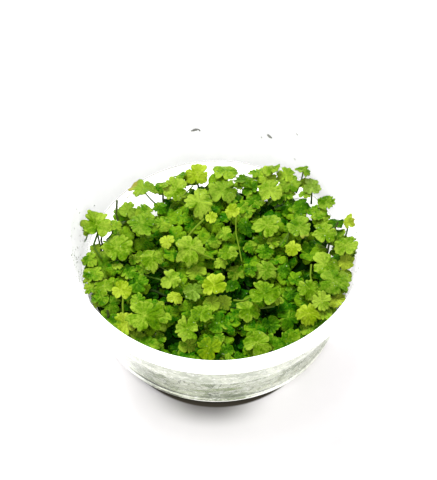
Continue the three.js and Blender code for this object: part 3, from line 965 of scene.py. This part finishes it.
# The cup
def make_cup():
    lip_inside = RIM_RADIUS - LIP_WALL
    flange_below = CUP_HEIGHT - WALL
    edge = LIP_WALL / 2
    profile = [
        (0, OVERHANG),
        (FOOT_RADIUS - FOOT_RING - ROUND, OVERHANG),
        (FOOT_RADIUS - FOOT_RING, 0),
        (FOOT_RADIUS, 0),
        (FOOT_RADIUS + ROUND, OVERHANG),
    ]
    profile += arc((BASE_RADIUS - ROUND, OVERHANG + ROUND), ROUND, -90, 0, 5)
    profile += [(wall_radius(flange_below) + WALL, flange_below), (lip_inside, flange_below)]
    profile += arc((lip_inside + edge, LIP_FOOT + edge), edge, 180, 360, 6)
    profile += arc((RIM_RADIUS - ROUND, CUP_HEIGHT - ROUND), ROUND, 0, 90, 5)
    profile += arc((MOUTH_RADIUS + ROUND, CUP_HEIGHT - ROUND), ROUND, 90, 170, 5)
    profile += [(WALL_FOOT_RADIUS, WALL_FOOT), (FLOOR_RADIUS, FLOOR_TOP), (0, FLOOR_TOP)]
    cup = turned("milky_cup", profile, CUP_STEPS)
    dress(cup, PLASTIC, 35)
    finished(cup, "cup")


def make_gel():
    bottom = FLOOR_TOP + GEL_GAP
    corner = WALL_FOOT + 2 * GEL_GAP
    rise = GEL_TOP + MENISCUS
    side = wall_radius(rise) - GEL_GAP
    profile = [
        (0, bottom),
        (FLOOR_RADIUS - GEL_GAP, bottom),
        (wall_radius(corner) - GEL_GAP, corner),
        (side, rise),
        (side - CLEARANCE - MENISCUS_WIDTH / 3, GEL_TOP + MENISCUS / 3),
        (side - CLEARANCE - MENISCUS_WIDTH, GEL_TOP),
    ]
    profile += [(wall_radius(GEL_TOP) * part, GEL_TOP) for part in (0.9, 0.75, 0.6, 0.45, 0.3, 0.15)]
    profile += [(0, GEL_TOP)]
    gel = turned("gel_bed", profile, GEL_STEPS)
    dress(gel, GEL, 40)
    finished(gel, "gel")


# Blades
def blade_blank(points_on_lobe, ring_steps):
    """A flat round mesh in rings, a disc inset ring by ring and poked, and its points."""
    deselect_all()
    bpy.ops.mesh.primitive_circle_add(vertices=3 * points_on_lobe, radius=1, fill_type="NGON")
    disc = bpy.context.active_object
    bpy.ops.object.mode_set(mode="EDIT")
    bpy.ops.mesh.select_all(action="SELECT")
    for ring_step in ring_steps:
        bpy.ops.mesh.inset(thickness=ring_step)
    bpy.ops.mesh.poke()
    bpy.ops.object.mode_set(mode="OBJECT")
    mesh = disc.data
    bpy.data.objects.remove(disc)
    points = np.empty(len(mesh.vertices) * 3)
    mesh.vertices.foreach_get("co", points)
    return mesh, points.reshape(-1, 3)


class Habit:
    """How one leaf differs from the next: its teeth, cuts, lobes' tilt, folds and tones, with painted light
    and shade on its lobes.
    """

    def __init__(self, seed, young=False):
        draw = random.Random(seed)

        def each_lobe(low, high):
            return np.array([draw.uniform(low, high) for _ in range(3)])

        self.teeth = np.array([draw.choice((3, 4, 5)) for _ in range(3)])
        self.depth = each_lobe(0.1, 0.2)
        self.tooth = np.array([[draw.uniform(-0.1, 0.1) for _ in range(6)] for _ in range(3)])
        self.split = np.array([draw.uniform(0, most) for most in (0.16, 0.08, 0.16)])
        self.cut = draw.uniform(0.3, 0.57) + (0.1 if young else 0)
        self.basal_cut = draw.uniform(0.12, 0.3)
        self.slit = draw.choice((4, 6, 8, 11))
        self.length = np.array([draw.uniform(*ends) for ends in ((0.84, 1.04), (0.9, 1.1), (0.84, 1.04))])
        self.tilt = each_lobe(-0.5, 0.16)
        self.twist = each_lobe(-0.42, 0.42)
        self.shift = each_lobe(-0.3, 0.3)
        self.dome = draw.uniform(0.04, 0.14)
        self.fold = draw.uniform(0, 0.26)
        self.droop = draw.uniform(0.05, 0.28)
        self.ruffle = draw.uniform(0.03, 0.09)
        self.waves = draw.choice((5, 6, 7))
        self.phase = draw.uniform(0, FULL_TURN)
        self.pucker = [draw.uniform(0, FULL_TURN) for _ in range(4)]
        # shade is a tone that differs at random from leaf to leaf; lobe_shade and side_shade paint light and
        # shade on each lobe and across it
        self.shade = draw.uniform(-0.1, 0.1)
        self.lobe_shade = each_lobe(-0.2, 0.2)
        self.side_shade = each_lobe(-0.22, 0.22)


def shape_blade(flat, span, habit):
    """The blank's points moved to a three-lobed blade about its petiole's joint, with its tones."""
    ring = np.hypot(flat[:, 0], flat[:, 1])
    share = (np.degrees(np.arctan2(flat[:, 1], flat[:, 0])) + 180) / 120
    lobe = np.minimum(share.astype(int), 2)
    t = 2 * (share - lobe) - 1
    u = np.sin(t * math.pi / 2)
    basal = ((lobe == 0) & (u < 0)) | ((lobe == 2) & (u > 0))
    turn = np.radians((lobe - 1) * LOBE_TURN + u * np.where(basal, 180 - LOBE_TURN, HALF_LOBE))
    cut = np.where(basal, habit.basal_cut, habit.cut)
    comb = habit.teeth[lobe] * (u * (1 - habit.shift[lobe] * (1 - u * u)) + 1) / 2
    swell = np.abs(np.sin(math.pi * comb)) ** 0.6
    tooth = habit.tooth[lobe, np.clip(comb.astype(int), 0, 5)]
    envelope = cut + (habit.length[lobe] - cut) * np.clip(1 - np.abs(u) ** habit.slit, 0, 1) ** 0.5
    outline = envelope * (1 - habit.depth[lobe] * (1 - swell) + tooth * swell)
    outline *= 1 - habit.split[lobe] * np.exp(-(u / 0.1) ** 2)
    reach = ring * outline
    x = reach * np.cos(turn)
    y = reach * np.sin(turn)
    window = 1 - np.abs(u) ** 4
    rise = CUPPING * reach ** 2 - habit.droop * reach ** 4
    rise += habit.tilt[lobe] * window * reach ** 1.5 + habit.twist[lobe] * u * window * reach
    rise += habit.dome * (swell - 0.5) * reach ** 2 * (1 - 0.5 * reach)
    rise += habit.fold * (np.abs(u) - 0.5) * window * reach
    rise += habit.ruffle * np.sin(habit.waves * turn + habit.phase) * reach ** 3
    a, b, c, d = habit.pucker
    rise += 0.035 * np.sin(9 * x + a) * np.cos(8 * y + b) * reach
    rise += 0.018 * np.sin(17 * x + 13 * y + c) * np.cos(12 * y - 6 * x + d)
    # Tones: painted shade in the creases at the notches, painted light towards the margin, and painted light
    # and shade on each lobe
    tones = habit.shade + (swell - 0.6) * 0.3 * reach + 0.1 * (reach - 0.5)
    tones += (habit.lobe_shade[lobe] + habit.side_shade[lobe] * u) * np.minimum(2 * reach, 1)
    return np.column_stack([x, y, rise]) * (span / 2), ring, tones


def seen_at(x, y, z):
    """The place at a height that is seen where x and y, in millimetres, were read."""
    return x * MM, y * MM + (READING_HEIGHT - z) * SIGHT_SLOPE, z


def kept_lean(leaf):
    """Share of the solid's lean in the fine blade, which lies flatter to the viewer."""
    return KEPT_LEAN_TO_VIEWER if VIEWER_SIDE[0] <= leaf.toward <= VIEWER_SIDE[1] else KEPT_LEAN


def blade_place(leaf, lift=0.0, pull=0.0, lean_share=1.0):
    """The joint's frame that puts the blade's middle where it was read."""
    middle = Vector(seen_at(leaf.x, leaf.y, leaf.height * MM + lift))
    middle += Vector((-middle.x, -middle.y, 0)).normalized() * pull
    toward = math.radians(leaf.toward)
    axis = Vector((-math.sin(toward), math.cos(toward), 0))
    lean = Matrix.Rotation(math.radians(leaf.lean * lean_share), 4, axis)
    turn = lean @ Matrix.Rotation(math.radians(leaf.facing), 4, "Z")
    offset = turn @ Vector((BLADE_MIDDLE * leaf.span * MM, 0, CUPPING * leaf.span * MM / 10))
    return Matrix.Translation(middle - offset) @ turn


def painted_light_at(x, y):
    """Painted light: how much lighter the leaves are made here, most at the far left and towards both sides.
    """
    return 0.13 + 2.6 * y - 1.4 * x + 70 * x * x


def make_blade(blank, span, habit, place, tone, faded=None):
    """One blade in its place, with its own map for veins, its tone and its faded part."""
    flat_mesh, flat = blank
    points, ring, tones = shape_blade(flat, span, habit)
    mesh = flat_mesh.copy()
    mesh.vertices.foreach_set("co", points.ravel())
    corners = np.empty(len(mesh.loops), int)
    mesh.loops.foreach_get("vertex_index", corners)
    veins = mesh.uv_layers.new(name="blade")
    veins.data.foreach_set("uv", (points[corners, :2] / span + 0.5).ravel())
    wilt = np.zeros(len(points))
    if faded:
        direction, start, spread = faded
        aim = math.radians(direction)
        away = (points[:, 0] * math.cos(aim) + points[:, 1] * math.sin(aim)) / (span / 2)
        wilt = np.clip((away - start) / spread, 0, 1)
    tones = tone + tones + painted_light_at(place.translation.x, place.translation.y)
    for name, values in (("tone", tones), ("edge", ring), ("wilt", wilt)):
        layer = mesh.attributes.new(name, "FLOAT", "POINT")
        layer.data.foreach_set("value", values)
    mesh.transform(place)
    mesh.update()
    return new_object("blade", mesh)


def leaf_tissue(name, blades, tissue):
    """Blades made one piece, given their thickness below their top, and finished."""
    piece = joined(name, blades)
    pick(piece)
    thickness = piece.modifiers.new("Thickness", "SOLIDIFY")
    thickness.thickness = BLADE_THICKNESS
    thickness.offset = -1
    bpy.ops.object.modifier_apply(modifier=thickness.name)
    dress(piece, LEAF_FINISHES[tissue])
    return piece


def petiole_path(place, span, aside=(0, 0), girth=1.0, foot_z=FELT_TOP):
    """From inside the blade down to the stems: under the joint first, then out and down."""
    joint = place @ Vector((-JOINT_BACK * span, 0, -BLADE_THICKNESS / 2))
    heel = place.to_3x3() @ Vector((-1, 0, 0))
    swing = Vector((*aside, 0)) * MM
    foot = Vector((joint.x, joint.y, foot_z)) + Vector((heel.x, heel.y, 0)) * PETIOLE_SWEEP * span + swing
    bend = Vector((joint.x, joint.y, (joint.z + foot_z) / 2))
    path = []
    for t in np.linspace(0, 1, 9):
        point = joint * (1 - t) ** 2 + bend * 2 * t * (1 - t) + foot * t ** 2
        path.append((point, girth * PETIOLE_RADIUS * (0.85 + 0.35 * t)))
    return path


def solid_blade_top(leaf):
    """Highest point of the leaf's solid before it was settled."""
    place = blade_place(leaf)
    half = leaf.span * MM / 2
    tops = []
    for middle in (-LOBE_TURN, 0, LOBE_TURN):
        for offset, part in CAD_TEETH:
            turn = math.radians(middle + offset)
            corner = Vector((math.cos(turn), math.sin(turn), CUPPING * part)) * part * half
            tops.append((place @ corner).z)
    return max(tops)


def make_upper_leaf(number, leaf, blank):
    node = f"leaf_{number:02d}"
    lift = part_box(node)[1].z - solid_blade_top(leaf)
    lean_share = STANDING.get(number, kept_lean(leaf))
    place = blade_place(leaf, lift, DRAWN_IN.get(number, 0) * MM, lean_share)
    span = leaf.span * MM
    habit = Habit(OTHER_HABITS.get(number, number), young=leaf.tissue == "lime")
    blade = make_blade(blank, span, habit, place, leaf.tone, FADED.get(number))
    blade = leaf_tissue("blade", [blade], leaf.tissue)
    draw = random.Random(PETIOLE_SEED + number)
    aside = SLANTING.get(number, (draw.uniform(-2, 2), draw.uniform(-2, 2)))
    stalk = tubes("stalk", [petiole_path(place, span, aside)], 6, PETIOLE)
    finished(joined(f"fine_{node}", [blade, stalk]), node)


# Thicket
def on_wall(direction, z, inset):
    """A place inside the wall, by its compass direction in degrees."""
    aim = math.radians(direction)
    reach = wall_radius(z) - inset
    return Vector((reach * math.cos(aim), reach * math.sin(aim), z))


def blade_room(span):
    """How far from the wall a blade's joint has to stay."""
    return 0.52 * span + 0.0006


def keep_in_cup(x, y, z, room):
    """A place drawn in until it is clear of the wall by the room given."""
    reach = math.hypot(x, y)
    limit = wall_radius(z) - room
    if reach > limit:
        x, y = x * limit / reach, y * limit / reach
    return x, y


def bare(x, y):
    """How far the thicket stays off the wall in this direction."""
    direction = math.degrees(math.atan2(y, x))
    off = abs(direction - BARE_DIRECTION) / BARE_SPREAD
    t = min(max((off - BARE_CORE) / (1 - BARE_CORE), 0), 1)
    strip = BARE_STRIP * (1 - t * t * (3 - 2 * t))
    for middle, depth, spread in OPENINGS:
        strip = max(strip, depth * math.exp(-((direction - middle) / spread) ** 2))
    return strip


def in_gap(x, y, z, room):
    """Whether a place hides one of the dark gaps from the viewer."""
    for gap_x, gap_y, radius in GAPS:
        middle = seen_at(gap_x, gap_y, z)
        if math.hypot(x - middle[0], y - middle[1]) < radius * MM + room:
            return True
    return False


def make_low_leaves(blank):
    """Low leaves seen one by one, then a row of them that presses against the wall."""
    blades = []
    stalks = []

    def grow(place, span, habit, tone, aside=(0, 0)):
        blades.append(make_blade(blank, span, habit, place, tone))
        stalks.append(petiole_path(place, span, aside, 0.8))

    for index, row in enumerate(LOW_LEAVES):
        leaf = Leaf(*row)
        place = blade_place(leaf, lean_share=kept_lean(leaf))
        draw = random.Random(LOW_PETIOLE_SEED + index)
        aside = (draw.uniform(-2, 2), draw.uniform(-2, 2))
        grow(place, leaf.span * MM, Habit(LOW_HABIT_SEED + index), leaf.tone, aside)
    draw = random.Random(WALL_ROW_SEED)
    for direction in range(WALL_ROW_START, WALL_ROW_END, WALL_ROW_STEP):
        z = draw.uniform(22.5, 26.5) * MM
        span = draw.uniform(6, 8.5) * MM
        place = Matrix.Translation(on_wall(direction + draw.uniform(-2, 2), z, blade_room(span)))
        place = place @ Matrix.Rotation(draw.gauss(0, 0.12), 4, "Y")
        place = place @ Matrix.Rotation(draw.uniform(0, 6.3), 4, "Z")
        grow(place, span, Habit(WALL_HABIT_SEED + direction), draw.uniform(0.15, 0.6))
    finished(leaf_tissue("low_leaves", blades, "low"), "undergrowth")
    finished(tubes("low_petioles", stalks, 6, PETIOLE), "undergrowth")


def make_shade_felt():
    """The felt of roots, old stems and debris that the leaves stand over, coloured near black as painted
    shade under them.
    """
    profile = [(part, FELT_TOP) for part in (0, 0.12, 0.25, 0.37, 0.5, 0.62, 0.74, 0.86)]
    profile += [(0.97, FELT_TOP - 0.0002), (1, FELT_TOP - 0.0008), (0.97, FELT_FOOT), (0, FELT_FOOT)]
    felt = turned("root_mat_painted_shade", profile, GEL_STEPS)
    for vertex in felt.data.vertices:
        x, y, z = vertex.co
        reach = wall_radius(z) - FELT_ROOM - bare(x, y)
        lump = 0.0004 * math.sin(17 * x + 3) * math.cos(15 * y + 1) * (z >= FELT_TOP)
        vertex.co = (x * reach, y * reach, z + lump)
    dress(felt, STALK_FINISHES["root_mat_painted_shade"], 50)
    finished(felt, "undergrowth")


def make_understory(blank):
    """Small leaves on levels from the gel up, scattered in a spiral, off the openings and gaps."""
    draw = random.Random(UNDERSTORY_SEED)
    blades = []
    stalks = []
    for count, low, high, small, large, dark, light, kept_free in UNDERSTORY_LEVELS:
        for index in range(count):
            z = draw.uniform(low, high) * MM
            span = draw.uniform(small, large) * MM
            reach = math.sqrt((index + draw.random()) / count)
            direction = index * GOLDEN_TURN + draw.uniform(-0.2, 0.2)
            x = math.cos(direction)
            y = math.sin(direction)
            reach *= wall_radius(z) - blade_room(span) - kept_free * bare(x, y)
            if low > GAP_FLOOR and in_gap(x * reach, y * reach, z, 0.3 * span):
                continue
            place = Matrix.Translation((x * reach, y * reach, z))
            place = place @ Matrix.Rotation(draw.uniform(0, FULL_TURN), 4, "Z")
            place = place @ Matrix.Rotation(draw.gauss(0, 0.25), 4, "Y")
            place = place @ Matrix.Rotation(draw.uniform(0, FULL_TURN), 4, "Z")
            habit = Habit(draw.randrange(10 ** 6))
            blades.append(make_blade(blank, span, habit, place, draw.uniform(dark, light)))
            aside = (draw.uniform(-3, 3), draw.uniform(-3, 3))
            if index % 2 == 0:
                stalks.append(petiole_path(place, span, aside, 0.7, GEL_TOP + 0.0008))
    finished(leaf_tissue("understory_leaves", blades, "shade"), "undergrowth")
    finished(tubes("understory_petioles", stalks, 4, PETIOLE), "undergrowth")


def make_stems():
    """Creeping stems on the gel, each a slow wander from its own place on a spiral."""
    draw = random.Random(STEM_SEED)
    paths = []
    for index in range(STEM_COUNT):
        direction = index * GOLDEN_TURN
        reach = wall_radius(GEL_TOP) * 0.8 * math.sqrt((index + 0.5) / STEM_COUNT)
        x = reach * math.cos(direction)
        y = reach * math.sin(direction)
        heading = draw.uniform(0, FULL_TURN)
        z = GEL_TOP + 0.0016
        path = []
        for _ in range(STEM_POINTS):
            x, y = keep_in_cup(x, y, z, 0.0025 + bare(x, y))
            path.append((Vector((x, y, z)), STEM_RADIUS))
            heading += draw.uniform(-0.6, 0.6)
            x += STEM_PACE * math.cos(heading)
            y += STEM_PACE * math.sin(heading)
            z = min(max(z + draw.uniform(-0.8, 1.1) * MM, STEM_LEVELS[0]), STEM_LEVELS[1])
        paths.append(path)
    finished(tubes("creeping_stems", paths, 6, STALK_FINISHES["creeping_stem"]), "undergrowth")


def make_seen_stalks():
    """The petioles and stems that show between the leaves, each where it was read."""
    groups = {}
    for points, first, last, radius, kind in SEEN_STALKS:
        path = []
        steps = 4 * (len(points) - 1)
        for i in range(steps + 1):
            k = min(i // 4, len(points) - 2)
            t = i / 4 - k
            z = (first + (last - first) * i / steps) * MM
            x = points[k][0] + (points[k + 1][0] - points[k][0]) * t
            y = points[k][1] + (points[k + 1][1] - points[k][1]) * t
            place = Vector(seen_at(x, y, z))
            place.x, place.y = keep_in_cup(place.x, place.y, z, 0.0008)
            path.append((place, radius * MM))
        groups.setdefault(kind, []).append(path)
    for kind, paths in groups.items():
        finished(tubes(f"seen_stalks_{kind}", paths, 8, STALK_FINISHES[f"stalk_{kind}"]), "undergrowth")


# Traces on the gel and the wall
def make_wall_marks():
    """Thin grey traces and specks of dried gel on the inside of the far wall."""
    paths = [
        [(on_wall(direction, z * MM, (radius + 0.05) * MM), radius * MM) for direction, z in points]
        for radius, points in WALL_MARKS
    ]
    finished(tubes("wall_marks", paths, 6, TRACE), "cup")


def make_roots():
    """Pale roots along the side of the gel and on its top where it lies bare."""
    draw = random.Random(ROOT_SEED)
    paths = []
    for index in range(SIDE_ROOTS):
        direction = index * 360 / SIDE_ROOTS + draw.uniform(-4, 4)
        z = GEL_TOP - draw.uniform(0.001, 0.006)
        drift = draw.uniform(-1, 1)
        path = []
        for _ in range(draw.randint(10, 22)):
            path.append((on_wall(direction, z, SIDE_ROOT_INSET), SIDE_ROOT_RADIUS))
            direction += drift * draw.uniform(0.2, 1.4)
            z = max(z - draw.uniform(0.1, 0.8) * MM, 0.0045)
        paths.append(path)
    for _ in range(TOP_ROOTS):
        direction = draw.gauss(95, 28)
        x, y, _ = on_wall(direction, GEL_TOP, draw.uniform(1.5, 6) * MM)
        heading = draw.uniform(0, 6.3)
        path = []
        for _ in range(10):
            x, y = keep_in_cup(x, y, GEL_TOP, 0.0016)
            path.append((Vector((x, y, GEL_TOP + 0.0001)), TOP_ROOT_RADIUS))
            heading += draw.uniform(-0.5, 0.5)
            x += TOP_ROOT_PACE * math.cos(heading)
            y += TOP_ROOT_PACE * math.sin(heading)
        paths.append(path)
    finished(tubes("gel_roots", paths, 4, ROOT), "gel")


def make_bubble_rings():
    """The light rims of the larger air bubbles at the side of the gel."""
    rings = []
    for direction, z, radius in SEEN_BUBBLES:
        reach = math.degrees(radius * MM / wall_radius(z * MM))
        ring = []
        for t in np.linspace(0, FULL_TURN, 13):
            place = on_wall(direction + reach * math.cos(t), (z + radius * math.sin(t)) * MM, 0.00045)
            ring.append((place, 0.00018))
        rings.append(ring)
    finished(tubes("bubble_rings", rings, 6, ROOT), "gel")


def bead(radius, direction, z, inset, flat):
    """A small drop or bubble, flattened against the wall."""
    deselect_all()
    bpy.ops.mesh.primitive_uv_sphere_add(segments=10, ring_count=6, radius=radius)
    drop = bpy.context.active_object
    place = Matrix.Translation(on_wall(direction, z, inset))
    turn = Matrix.Rotation(math.radians(direction), 4, "Z")
    drop.data.transform(place @ turn @ Matrix.Diagonal((flat, 1, 1, 1)))
    return drop


def make_bubbles():
    """Small air bubbles all round the side of the gel."""
    draw = random.Random(BUBBLE_SEED)
    beads = []
    for _ in range(BUBBLE_COUNT):
        direction = draw.uniform(0, 360)
        radius = draw.choice(BUBBLE_RADII) * MM
        beads.append(bead(radius, direction, draw.uniform(4, 17) * MM, 0.0005, 0.35))
    bubbles = joined("gel_bubbles", beads)
    dress(bubbles, BUBBLE)
    finished(bubbles, "gel")


def make_droplets():
    """Condensation inside the wall above the leaves, thickest at the left."""
    draw = random.Random(DROP_SEED)
    beads = []
    for index in range(DROP_COUNT):
        direction = draw.gauss(186, 9) if index % 2 == 0 else draw.uniform(150, 390)
        z = draw.uniform(22, 35) * MM
        radius = draw.choice(DROP_RADII) * MM
        beads.append(bead(radius, direction, z, 0.3 * radius, 0.4))
    drops = joined("wall_droplets", beads)
    dress(drops, DROP)
    finished(drops, "cup")


# Ground, light and camera
def make_ground():
    deselect_all()
    bpy.ops.mesh.primitive_plane_add(size=6, location=(0, 0, 0))
    ground = bpy.context.active_object
    ground.name = "ground"
    ground.data.materials.append(paper_finish())


def area_light(name, place, size, power, aim=(0, 0, 0.02)):
    light = bpy.data.lights.new(name, "AREA")
    light.shape = "DISK"
    light.size = size
    light.energy = power
    holder = new_object(name, light)
    holder.location = place
    holder.rotation_euler = (Vector(aim) - Vector(place)).to_track_quat("-Z", "Y").to_euler()


def make_lights():
    world = bpy.data.worlds.new("white_studio")
    bpy.context.scene.world = world
    world.use_nodes = True
    background = world.node_tree.nodes["Background"]
    background.inputs["Color"].default_value = (1, 1, 1, 1)
    background.inputs["Strength"].default_value = 1.1
    area_light("key_above", (-0.28, 0.5, 0.95), 0.5, 19)
    area_light("fill_front", (0.35, -1.05, 0.65), 0.9, 7)


def make_camera():
    lens = bpy.data.cameras.new("camera")
    camera = new_object("camera", lens)
    bpy.context.scene.camera = camera
    rise = math.radians(CAMERA_ELEVATION)
    back = Vector((0, -math.cos(rise), math.sin(rise)))
    right = Vector((1, 0, 0))
    up = Vector((0, math.sin(rise), math.cos(rise)))
    aside = (IMAGE_SIZE[0] / 2 - RIM_PIXEL[0]) / PIXELS_PER_METRE
    below = (IMAGE_SIZE[1] / 2 - RIM_PIXEL[1]) / PIXELS_PER_METRE
    rim_middle = Vector((0, 0, CUP_HEIGHT))
    camera.location = rim_middle + back * CAMERA_DISTANCE + right * aside - up * below
    camera.rotation_mode = "QUATERNION"
    camera.rotation_quaternion = (-back).to_track_quat("-Z", "Y")
    lens.sensor_width = SENSOR
    lens.lens = SENSOR * PIXELS_PER_METRE * CAMERA_DISTANCE / max(IMAGE_SIZE)
    lens.clip_start = 0.01
    lens.clip_end = 10


make_camera()
make_lights()
make_ground()
make_cup()
make_gel()
upper_blank = blade_blank(30, (0.07, 0.13, 0.2, 0.22))
for number, row in enumerate(UPPER_LEAVES, start=1):
    make_upper_leaf(number, Leaf(*row), upper_blank)
make_low_leaves(blade_blank(24, (0.1, 0.2, 0.3)))
make_shade_felt()
make_understory(blade_blank(8, (0.45,)))
make_stems()
make_seen_stalks()
make_wall_marks()
make_roots()
make_bubble_rings()
make_bubbles()
make_droplets()

bpy.context.scene.view_settings.view_transform = "Standard"
